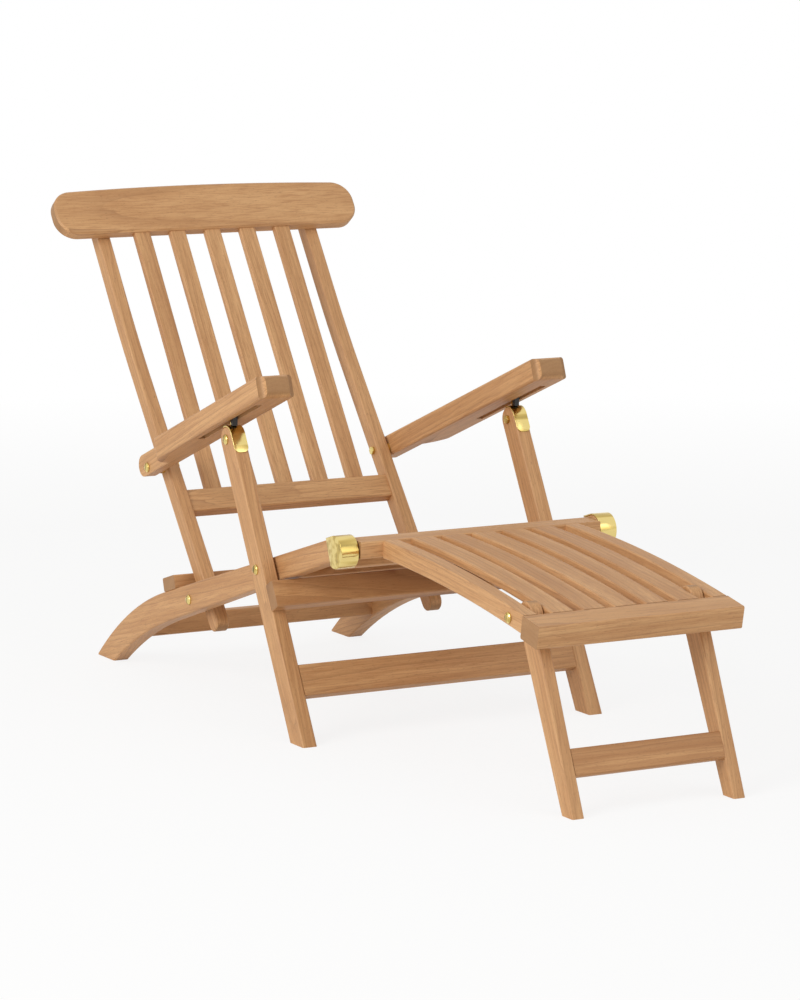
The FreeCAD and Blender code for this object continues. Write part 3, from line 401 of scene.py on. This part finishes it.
    def _ring_lines(
        self,
        tree: bpy.types.NodeTree,
        log: bpy.types.Node,
        depth: bpy.types.NodeSocket,
        board: Board,
    ) -> bpy.types.NodeSocket:
        """Draws the year rings, each with a strength of its own, as dry and wet years leave them.

        Args:
            tree: the material's node tree.
            log: the mapping node that centres the log on the pith.
            depth: the distance from the pith.
            board: the board, for its ring width.

        Returns:
            The line's strength, 1 on a bold line and 0 between the lines.
        """
        count = add_node(
            tree, "ShaderNodeMath", {"operation": "MULTIPLY"}, {0: depth, 1: per_metre(board.ring_mm)}
        )
        part = add_node(tree, "ShaderNodeMath", {"operation": "FRACT"}, {0: count.outputs["Value"]})
        line = add_node(tree, "ShaderNodeValToRGB", inputs={"Fac": part.outputs["Value"]})
        grey = [(0.0, 0.0), (0.03, 0.9), (0.08, 0.6), (0.3, 0.22), (0.7, 0.03), (1.0, 0.0)]
        set_stops(line, [(at, (v, v, v, 1.0)) for at, v in grey])
        year = add_node(tree, "ShaderNodeMath", {"operation": "FLOOR"}, {0: count.outputs["Value"]})
        chance = add_node(
            tree, "ShaderNodeTexWhiteNoise", {"noise_dimensions": "1D"}, {"W": year.outputs["Value"]}
        )
        bold = add_node(
            tree,
            "ShaderNodeMapRange",
            inputs={"Value": chance.outputs["Value"], "From Min": 0.1, "To Min": 0.18, "To Max": 1.0},
        )
        fade = self._stretched_noise(tree, log, 240.0, 24.0, 2.0)
        shown = add_node(
            tree,
            "ShaderNodeMapRange",
            inputs={"Value": fade, "From Min": 0.38, "From Max": 0.62, "To Min": 0.35, "To Max": 1.0},
        )
        first = add_node(
            tree,
            "ShaderNodeMath",
            {"operation": "MULTIPLY"},
            {0: line.outputs["Color"], 1: bold.outputs["Result"]},
        )
        both = add_node(
            tree,
            "ShaderNodeMath",
            {"operation": "MULTIPLY"},
            {0: first.outputs["Value"], 1: shown.outputs["Result"]},
        )
        return both.outputs["Value"]

    def _body_colour(
        self,
        tree: bpy.types.NodeTree,
        log: bpy.types.Node,
        board: Board,
        depth: bpy.types.NodeSocket,
    ) -> bpy.types.NodeSocket:
        """Mixes the board's own tone with bands that follow the rings, and patches along it.

        Args:
            tree: the material's node tree.
            log: the mapping node that lays the board's length on X.
            board: the board, for its tone and its darker core near the pith.
            depth: the distance from the pith.

        Returns:
            The colour so far.
        """
        pale, honey, tan = linear(self.pale), linear(self.honey), linear(self.tan)
        light = blended(pale, honey, board.tone)
        deep = blended(honey, tan, board.tone)
        along = add_node(
            tree, "ShaderNodeMath", {"operation": "MULTIPLY"}, {0: depth, 1: per_metre(self.band_mm)}
        )
        bands = add_node(
            tree,
            "ShaderNodeTexNoise",
            {"noise_dimensions": "1D"},
            {"W": along.outputs["Value"], "Scale": 1.0, "Detail": 3.0},
        )
        patches = self._stretched_noise(tree, log, self.patch_length_mm, self.patch_width_mm, 3.0)
        tone = add_node(
            tree, "ShaderNodeMath", {"operation": "ADD"}, {0: bands.outputs["Fac"], 1: patches}
        )
        body = add_node(tree, "ShaderNodeValToRGB")
        half = add_node(
            tree, "ShaderNodeMath", {"operation": "MULTIPLY"}, {0: tone.outputs["Value"], 1: 0.5}
        )
        tree.links.new(half.outputs["Value"], body.inputs["Fac"])
        set_stops(body, [(0.38, light), (0.5, blended(light, deep, 0.5)), (0.64, deep)])
        # Darker within a set distance of the pith; of all the boards only the apron rail has it.
        if board.dark_core_mm <= 0.0:
            return body.outputs["Color"]
        core_share = add_node(
            tree,
            "ShaderNodeMapRange",
            inputs={
                "Value": depth,
                "From Min": board.dark_core_mm / 1000.0,
                "From Max": (board.dark_core_mm + 9.0) / 1000.0,
                "To Min": 1.0,
                "To Max": 0.0,
            },
        )
        return self._tinted(
            tree, body.outputs["Color"], core_share.outputs["Result"], linear(self.dark_core), 0.75
        )

    def _with_pores(
        self, tree: bpy.types.NodeTree, log: bpy.types.Node, colour: bpy.types.NodeSocket
    ) -> bpy.types.NodeSocket:
        """Adds teak's open pores, short dark dashes along the grain.

        Real pores are 0.2 mm wide; they are drawn 0.7 mm wide, because finer ones vanish.

        Args:
            tree: the material's node tree.
            log: the mapping node that lays the board's length on X.
            colour: the colour so far.

        Returns:
            The colour with its pores.
        """
        dashes = self._stretched_noise(tree, log, self.pore_length_mm, self.pore_width_mm, 1.0)
        share = add_node(
            tree,
            "ShaderNodeMapRange",
            inputs={"Value": dashes, "From Min": 0.64, "From Max": 0.76, "To Min": 0.0, "To Max": 0.6},
        )
        return self._tinted(tree, colour, share.outputs["Result"], linear(self.pore), 1.0)

    def _with_end_grain(
        self,
        tree: bpy.types.NodeTree,
        place: bpy.types.Node,
        along: Vector,
        colour: bpy.types.NodeSocket,
    ) -> bpy.types.NodeSocket:
        """Tints the sawn ends, which drink more light than the faces.

        Args:
            tree: the material's node tree.
            place: the texture coordinate node.
            along: the direction of the board's length.
            colour: the colour so far.

        Returns:
            The colour with its end grain.
        """
        facing = add_node(
            tree,
            "ShaderNodeVectorMath",
            {"operation": "DOT_PRODUCT"},
            {0: place.outputs["Normal"], 1: along},
        )
        end = add_node(tree, "ShaderNodeMath", {"operation": "ABSOLUTE"}, {0: facing.outputs["Value"]})
        share = add_node(
            tree,
            "ShaderNodeMapRange",
            inputs={"Value": end.outputs["Value"], "From Min": 0.6, "From Max": 0.85, "To Max": 0.7},
        )
        return self._tinted(tree, colour, share.outputs["Result"], linear(self.end_grain), 1.0)


@dataclass(frozen=True)
class PolishedBrass:
    """Buffed yellow brass: a bright mirror with faint buffing lines, and darker bands that are partly a
    painted reflection of dark surroundings and partly a slightly dull film.
    """

    metal: str = "#E6CF86"
    # The film and tarnish colours are partly a painted reflection of dark surroundings and partly a worn
    # film.
    film_and_reflection: str = "#CDB166"
    tarnish_and_reflection: str = "#B29C5C"
    buffing_mm: float = 0.9
    buffing_length_mm: float = 9.0
    reflection_band_mm: float = 12.0
    reflection_band_length_mm: float = 110.0

    def material(self) -> bpy.types.Material:
        """Returns the brass material, the same for every fitting."""
        material, tree, shader = new_material("polished_brass")
        place = add_node(tree, "ShaderNodeTexCoord")
        # Painted reflection and dull film: darker bands along X, the axis of the knuckle caps and bolts,
        # stand in for reflected dark surroundings as well as a worn film.
        along, around = per_metre(self.reflection_band_length_mm), per_metre(self.reflection_band_mm)
        bands = add_node(
            tree,
            "ShaderNodeMapping",
            inputs={"Vector": place.outputs["Object"], "Scale": (along, around, around)},
        )
        film_and_reflection = add_node(
            tree,
            "ShaderNodeTexNoise",
            inputs={"Vector": bands.outputs["Vector"], "Scale": 1.0, "Detail": 1.0},
        )
        tint = add_node(tree, "ShaderNodeValToRGB", inputs={"Fac": film_and_reflection.outputs["Fac"]})
        set_stops(
            tint,
            [(0.42, linear(self.metal)), (0.56, linear(self.film_and_reflection)), (0.74, linear(self.tarnish_and_reflection))],
        )
        rough = add_node(
            tree,
            "ShaderNodeMapRange",
            inputs={
                "Value": film_and_reflection.outputs["Fac"],
                "From Min": 0.3,
                "From Max": 0.75,
                "To Min": 0.12,
                "To Max": 0.26,
            },
        )
        # Buffing lines are fine across X and Z, and drawn out along Y.
        fine, long = per_metre(self.buffing_mm), per_metre(self.buffing_length_mm)
        lines = add_node(
            tree,
            "ShaderNodeMapping",
            inputs={"Vector": place.outputs["Object"], "Scale": (fine, long, fine)},
        )
        scratch = add_node(
            tree,
            "ShaderNodeTexNoise",
            inputs={"Vector": lines.outputs["Vector"], "Scale": 1.0, "Detail": 2.0},
        )
        bump = add_node(
            tree,
            "ShaderNodeBump",
            inputs={"Strength": 0.12, "Distance": 0.0001, "Height": scratch.outputs["Fac"]},
        )
        shader.inputs["Metallic"].default_value = 1.0
        tree.links.new(tint.outputs["Color"], shader.inputs["Base Color"])
        tree.links.new(rough.outputs["Result"], shader.inputs["Roughness"])
        tree.links.new(bump.outputs["Normal"], shader.inputs["Normal"])
        return material


@dataclass(frozen=True)
class BlackNylon:
    """Moulded black nylon of the catch blocks: dark, with a fine spark-eroded grain."""

    dark: str = "#191817"
    light: str = "#2B2927"
    grain_mm: float = 1.1

    def material(self) -> bpy.types.Material:
        """Returns the nylon material."""
        material, tree, shader = new_material("moulded_black_nylon")
        place = add_node(tree, "ShaderNodeTexCoord")
        grain = add_node(
            tree,
            "ShaderNodeTexNoise",
            inputs={"Vector": place.outputs["Object"], "Scale": per_metre(self.grain_mm), "Detail": 3.0},
        )
        tint = add_node(tree, "ShaderNodeValToRGB", inputs={"Fac": grain.outputs["Fac"]})
        set_stops(tint, [(0.35, linear(self.dark)), (0.7, linear(self.light))])
        bump = add_node(
            tree,
            "ShaderNodeBump",
            inputs={"Strength": 0.3, "Distance": 0.0002, "Height": grain.outputs["Fac"]},
        )
        shader.inputs["Roughness"].default_value = 0.46
        tree.links.new(tint.outputs["Color"], shader.inputs["Base Color"])
        tree.links.new(bump.outputs["Normal"], shader.inputs["Normal"])
        return material


@dataclass
class Workshop:
    """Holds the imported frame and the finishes, and dresses one piece at a time."""

    nodes: dict[str, bpy.types.Object]
    teak: SandedTeak = field(default_factory=SandedTeak)
    brass: bpy.types.Material | None = None
    nylon: bpy.types.Material | None = None
    plate_mm: float = 6.0
    lip_zone_mm: float = 4.0
    weld_mm: float = 0.01
    level_mm: float = 0.1
    sharp_deg: float = 40.0

    def prepare(self) -> None:
        """Makes the finishes that many pieces share."""
        self.brass = PolishedBrass().material()
        self.nylon = BlackNylon().material()

    def coat(self, piece: bpy.types.Object, material: bpy.types.Material) -> None:
        """Gives a piece one material in its only slot.

        Args:
            piece: the object to dress.
            material: its finish.
        """
        piece.data.materials.clear()
        piece.data.materials.append(material)
        LOG.info("%s: %s", piece.name, material.name)

    def dress_boards(self, boards: Iterable[Board]) -> None:
        """Gives each board its own teak.

        Args:
            boards: the boards with their grain.
        """
        for board in boards:
            self.coat(self.nodes[board.node], self.teak.material(board))

    def dress_metal(self, names: Iterable[str]) -> None:
        """Gives each named node polished brass.

        Args:
            names: nodes of brass fittings.
        """
        for name in names:
            self.coat(self.nodes[name], self.brass)

    def round_lip(self, piece: bpy.types.Object, radius_mm: float) -> None:
        """Rounds the two lowest corners of a plate that lies across the chair.

        Args:
            piece: the plate, with its doubles merged.
            radius_mm: the corners' radius.
        """
        mesh = piece.data
        lowest = min(v.co.z for v in mesh.vertices)
        for edge in mesh.edges:
            first, second = (mesh.vertices[n].co for n in edge.vertices)
            short = (first - second).length < self.plate_mm / 1000.0
            level_x = abs(first.x - second.x) < self.level_mm / 1000.0
            low = max(first.z, second.z) < lowest + self.lip_zone_mm / 1000.0
            edge.select = short and level_x and low
        LOG.info("%s: %d lip corners", piece.name, sum(e.select for e in mesh.edges))
        bpy.ops.object.mode_set(mode="EDIT")
        bpy.ops.mesh.bevel(offset=radius_mm / 1000.0, segments=8, affect="EDGES")
        bpy.ops.object.mode_set(mode="OBJECT")

    def buff(self, name: str, body: str, easing_mm: float, lip_mm: float = 0.0) -> None:
        """Puts a smooth brass piece with eased edges in the place of a fitting's node.

        Args:
            name: the fitting's node.
            body: the body that the fitting moves with.
            easing_mm: how far its sharp edges are rounded.
            lip_mm: the radius of a plate's lowest corners, or 0 to leave them.
        """
        node = self.nodes[name]
        bpy.ops.object.select_all(action="DESELECT")
        node.select_set(True)
        bpy.context.view_layer.objects.active = node
        bpy.ops.object.duplicate()
        piece = bpy.context.active_object
        piece.name = f"{name}_buffed"
        bpy.ops.object.parent_clear(type="CLEAR_KEEP_TRANSFORM")
        bpy.ops.object.transform_apply(location=True, rotation=True, scale=True)
        bpy.ops.object.mode_set(mode="EDIT")
        bpy.ops.mesh.select_all(action="SELECT")
        bpy.ops.mesh.remove_doubles(threshold=self.weld_mm / 1000.0)
        bpy.ops.mesh.dissolve_limited(angle_limit=math.radians(0.5))
        bpy.ops.mesh.normals_make_consistent(inside=False)
        if lip_mm > 0.0:
            bpy.ops.mesh.select_all(action="DESELECT")
            bpy.ops.mesh.select_mode(type="EDGE")
        bpy.ops.object.mode_set(mode="OBJECT")
        if lip_mm > 0.0:
            self.round_lip(piece, lip_mm)
        easing = piece.modifiers.new("eased_edges", "BEVEL")
        easing.width = easing_mm / 1000.0
        easing.segments = 4
        easing.limit_method = "ANGLE"
        easing.angle_limit = math.radians(self.sharp_deg)
        bpy.ops.object.modifier_apply(modifier=easing.name)
        bpy.ops.object.shade_smooth_by_angle(angle=math.radians(self.sharp_deg))
        self.coat(piece, self.brass)
        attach(piece, body)
        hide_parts(name)


@dataclass
class SeatFrame:
    """The two curved side rails, the slatted seat between them and the bars behind it."""

    shop: Workshop
    slope_deg: float = -16.4
    slats: int = 7
    slat_tones: tuple[float, ...] = (0.3, 0.55, 0.2, 0.7, 0.35, 0.5, 0.25)

    def boards(self) -> list[Board]:
        """Returns the boards of the seat frame."""
        rails = [
            Board("side_rail_left", Run.ON_EDGE, self.slope_deg, Cut.RIFT_SAWN, 0.55),
            Board("side_rail_right", Run.ON_EDGE, self.slope_deg, Cut.FLAT_SAWN, 0.4),
            Board("seat_front_rail", Run.ACROSS, 90.0, Cut.RIFT_SAWN, 0.35),
            Board("seat_batten", Run.ACROSS, self.slope_deg, Cut.RIFT_SAWN, 0.5),
            Board("rear_cross_bar", Run.ACROSS, self.slope_deg, Cut.RIFT_SAWN, 0.6),
            Board("rear_stretcher", Run.ACROSS, 90.0, Cut.FLAT_SAWN, 0.45),
        ]
        slats = [
            Board(f"seat_slat_{n + 1}", Run.FLAT, self.slope_deg, Cut.RIFT_SAWN, self.slat_tones[n])
            for n in range(self.slats)
        ]
        return rails + slats

    def build(self) -> None:
        """Dresses the seat frame and its brass."""
        self.shop.dress_boards(self.boards())
        self.shop.dress_metal(["knuckle_pins", "leg_washers"])
        self.shop.buff("knuckle_cap_left", "seat_frame", 1.6)
        self.shop.buff("knuckle_cap_right", "seat_frame", 1.6)
        self.shop.buff("leg_pivot_bolts", "seat_frame", 0.7)


@dataclass
class Backrest:
    """The cranked stiles, the five long slats, the lower rail and the broad head rail."""

    shop: Workshop
    lower_slope_deg: float = 51.1
    upper_slope_deg: float = 55.2
    slat_tones: tuple[float, ...] = (0.65, 0.3, 0.2, 0.15, 0.4)

    def boards(self) -> list[Board]:
        """Returns the boards of the back."""
        lean = (self.lower_slope_deg + self.upper_slope_deg) / 2.0
        frame = [
            Board("back_stile_left", Run.ON_EDGE, lean, Cut.RIFT_SAWN, 0.35),
            Board("back_stile_right", Run.ON_EDGE, lean, Cut.FLAT_SAWN, 0.4),
            Board("head_rail", Run.ACROSS, self.upper_slope_deg, Cut.FLAT_SAWN, 0.35, 15.0, 3.0),
            Board("lower_back_rail", Run.ACROSS, self.lower_slope_deg, Cut.FLAT_SAWN, 0.0),
        ]
        slats = [
            Board(f"back_slat_{n + 1}", Run.FLAT, self.upper_slope_deg, Cut.RIFT_SAWN, tone)
            for n, tone in enumerate(self.slat_tones)
        ]
        return frame + slats

    def build(self) -> None:
        """Dresses the back and the bolts that it turns on."""
        self.shop.dress_boards(self.boards())
        self.shop.buff("back_pivot_bolts", "back_pivots", 0.7)


@dataclass
class Armrests:
    """The two arms with their grooves, brass racks and the bolts at their tails."""

    shop: Workshop
    slope_deg: float = 159.6

    def boards(self) -> list[Board]:
        """Returns the two arms."""
        return [
            Board("arm_left", Run.FLAT, self.slope_deg, Cut.FLAT_SAWN, 0.45),
            Board("arm_right", Run.FLAT, self.slope_deg, Cut.FLAT_SAWN, 0.3),
        ]

    def build(self) -> None:
        """Dresses the arms and their fittings."""
        self.shop.dress_boards(self.boards())
        self.shop.dress_metal(["arm_rack_left", "arm_rack_right", "arm_washers"])
        self.shop.buff("arm_pivot_bolts", "arm_pivots", 0.7)


@dataclass
class FrontLegs:
    """The front legs with their stretcher, apron and the catches on their tops."""

    shop: Workshop
    slope_deg: float = 61.5

    def boards(self) -> list[Board]:
        """Returns the boards of the front legs."""
        return [
            Board("front_leg_left", Run.ON_EDGE, self.slope_deg, Cut.FLAT_SAWN, 0.6),
            Board("front_leg_right", Run.ON_EDGE, self.slope_deg, Cut.RIFT_SAWN, 0.45),
            Board("front_stretcher", Run.ACROSS, 90.0, Cut.QUARTER_SAWN, 0.6),
            Board("apron_rail", Run.ACROSS, 90.0, Cut.FLAT_SAWN, 1.0, 12.0, 3.5, 68.0),
        ]

    def build(self) -> None:
        """Dresses the legs and their catches."""
        self.shop.dress_boards(self.boards())
        self.shop.buff("leg_saddle_left", "front_legs", 0.5, 10.0)
        self.shop.buff("leg_saddle_right", "front_legs", 0.5, 10.0)
        self.shop.buff("saddle_bolts", "front_legs", 0.7)
        for side in ("left", "right"):
            self.shop.coat(self.shop.nodes[f"catch_block_{side}"], self.shop.nylon)


@dataclass
class Footrest:
    """The slatted footrest with its rails, side boards and folding legs."""

    shop: Workshop
    slope_deg: float = 6.5
    leg_slope_deg: float = 65.9
    slat_tones: tuple[float, ...] = (0.35, 0.75, 0.45, 0.6, 0.7)

    def boards(self) -> list[Board]:
        """Returns the boards of the footrest and its legs."""
        frame = [
            Board("footrest_side_left", Run.ON_EDGE, self.slope_deg, Cut.RIFT_SAWN, 0.2),
            Board("footrest_side_right", Run.ON_EDGE, self.slope_deg, Cut.RIFT_SAWN, 0.4),
            Board("footrest_hinge_rail", Run.ACROSS, 90.0, Cut.RIFT_SAWN, 0.3),
            Board("footrest_front_rail", Run.ACROSS, 90.0, Cut.QUARTER_SAWN, 0.35),
            Board("footrest_leg_left", Run.ON_EDGE, self.leg_slope_deg, Cut.RIFT_SAWN, 0.35),
            Board("footrest_leg_right", Run.ON_EDGE, self.leg_slope_deg, Cut.RIFT_SAWN, 0.35),
            Board("footrest_leg_stretcher", Run.ACROSS, 90.0, Cut.QUARTER_SAWN, 1.0),
        ]
        slats = [
            Board(f"footrest_slat_{n + 1}", Run.FLAT, self.slope_deg, Cut.RIFT_SAWN, tone)
            for n, tone in enumerate(self.slat_tones)
        ]
        return frame + slats

    def build(self) -> None:
        """Dresses the footrest and its bolts."""
        self.shop.dress_boards(self.boards())
        self.shop.buff("footrest_pivot_bolts", "footrest", 0.7)


@dataclass
class Studio:
    """The pale floor, the white surround, the soft lamps and the camera."""

    floor_radius: float = 14.0
    plain_radius: float = 2.2
    faded_radius: float = 4.5
    ambient: float = 0.58
    key_watts: float = 150.0
    fill_watts: float = 28.0
    lens_mm: float = 138.17
    camera_place: tuple[float, float, float] = (-3.157, -5.840, 1.401)
    azimuth_deg: float = -28.35
    elevation_deg: float = 8.78

    def _seen_directly(self, tree: bpy.types.NodeTree) -> bpy.types.NodeSocket:
        """Adds the test for rays that show the background rather than light the chair.

        Args:
            tree: the node tree of the floor or the world.

        Returns:
            1 for camera, glossy and transmission rays, and 0 for the rest.
        """
        path = add_node(tree, "ShaderNodeLightPath")
        seen = path.outputs["Is Camera Ray"]
        for name in ("Is Glossy Ray", "Is Transmission Ray"):
            either = add_node(
                tree, "ShaderNodeMath", {"operation": "MAXIMUM"}, {0: seen, 1: path.outputs[name]}
            )
            seen = either.outputs["Value"]
        return seen

    def surround(self) -> None:
        """Makes the world: white to the eye and to the brass, and a plain light on the wood."""
        world = bpy.data.worlds.new("white_surround")
        bpy.context.scene.world = world
        world.use_nodes = True
        tree = world.node_tree
        tree.nodes.clear()
        light = add_node(
            tree, "ShaderNodeBackground", inputs={"Color": linear("#FFFFFF"), "Strength": self.ambient}
        )
        white = add_node(
            tree, "ShaderNodeBackground", inputs={"Color": linear("#FFFFFF"), "Strength": 1.0}
        )
        both = add_node(
            tree,
            "ShaderNodeMixShader",
            inputs={
                0: self._seen_directly(tree),
                1: light.outputs["Background"],
                2: white.outputs["Background"],
            },
        )
        add_node(tree, "ShaderNodeOutputWorld", inputs={"Surface": both.outputs["Shader"]})

    def floor(self) -> None:
        """Lays a pale round floor that keeps the chair's shadow and fades to white far out."""
        bpy.ops.object.select_all(action="DESELECT")
        bpy.ops.mesh.primitive_circle_add(
            vertices=96, radius=self.floor_radius, fill_type="NGON", location=(0.0, 0.0, 0.0)
        )
        floor = bpy.context.active_object
        floor.name = "studio_floor"
        material = bpy.data.materials.new("matt_studio_floor")
        material.use_nodes = True
        tree = material.node_tree
        tree.nodes.clear()
        place = add_node(tree, "ShaderNodeTexCoord")
        far = add_node(
            tree, "ShaderNodeVectorMath", {"operation": "LENGTH"}, {0: place.outputs["Object"]}
        )
        glow = add_node(
            tree,
            "ShaderNodeMapRange",
            inputs={
                "Value": far.outputs["Value"],
                "From Min": self.plain_radius,
                "From Max": self.faded_radius,
                "To Min": 0.84,
                "To Max": 1.0,
            },
        )
        share = add_node(
            tree,
            "ShaderNodeMath",
            {"operation": "MULTIPLY"},
            {0: self._seen_directly(tree), 1: glow.outputs["Result"]},
        )
        matt = add_node(tree, "ShaderNodeBsdfDiffuse", inputs={"Color": linear("#F4F3F1")})
        white = add_node(
            tree, "ShaderNodeEmission", inputs={"Color": linear("#FFFFFF"), "Strength": 1.0}
        )
        both = add_node(
            tree,
            "ShaderNodeMixShader",
            inputs={
                0: share.outputs["Value"],
                1: matt.outputs["BSDF"],
                2: white.outputs["Emission"],
            },
        )
        add_node(tree, "ShaderNodeOutputMaterial", inputs={"Surface": both.outputs["Shader"]})
        floor.data.materials.append(material)

    def lamp(self, name: str, place: tuple[float, float, float], size: float, watts: float) -> None:
        """Hangs one square softbox that looks at the chair's middle.

        Args:
            name: the lamp's name.
            place: where it hangs.
            size: its side.
            watts: its power.
        """
        bpy.ops.object.light_add(type="AREA", location=place)
        lamp = bpy.context.active_object
        lamp.name = name
        lamp.data.shape = "SQUARE"
        lamp.data.size = size
        lamp.data.energy = watts
        towards = Vector((0.0, 0.0, 0.4)) - Vector(place)
        lamp.rotation_euler = towards.to_track_quat("-Z", "Y").to_euler()

    def camera(self) -> None:
        """Sets the camera at the photograph's place and angle."""
        bpy.ops.object.camera_add(location=self.camera_place)
        camera = bpy.context.active_object
        camera.name = "photo_camera"
        camera.rotation_euler = (
            math.radians(90.0 - self.elevation_deg),
            0.0,
            math.radians(self.azimuth_deg),
        )
        camera.data.sensor_fit = "VERTICAL"
        camera.data.sensor_height = 36.0
        camera.data.lens = self.lens_mm
        camera.data.clip_end = 100.0
        bpy.context.scene.camera = camera

    def build(self) -> None:
        """Sets up the whole studio."""
        self.surround()
        self.floor()
        self.lamp("key_softbox", (-4.8, -1.6, 2.9), 3.0, self.key_watts)
        self.lamp("fill_softbox", (1.6, -4.6, 2.4), 3.0, self.fill_watts)
        self.camera()
        bpy.context.scene.view_settings.view_transform = "Standard"


def main() -> None:
    """Loads the frame, dresses the chair and sets up the studio."""
    logging.basicConfig(level=logging.INFO, format="%(name)s %(message)s")
    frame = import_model()
    bpy.ops.object.select_all(action="DESELECT")
    shop = Workshop(frame["nodes"])
    shop.prepare()
    for section in (SeatFrame, Backrest, Armrests, FrontLegs, Footrest):
        section(shop).build()
    Studio().build()


if __name__ == "__main__":
    main()
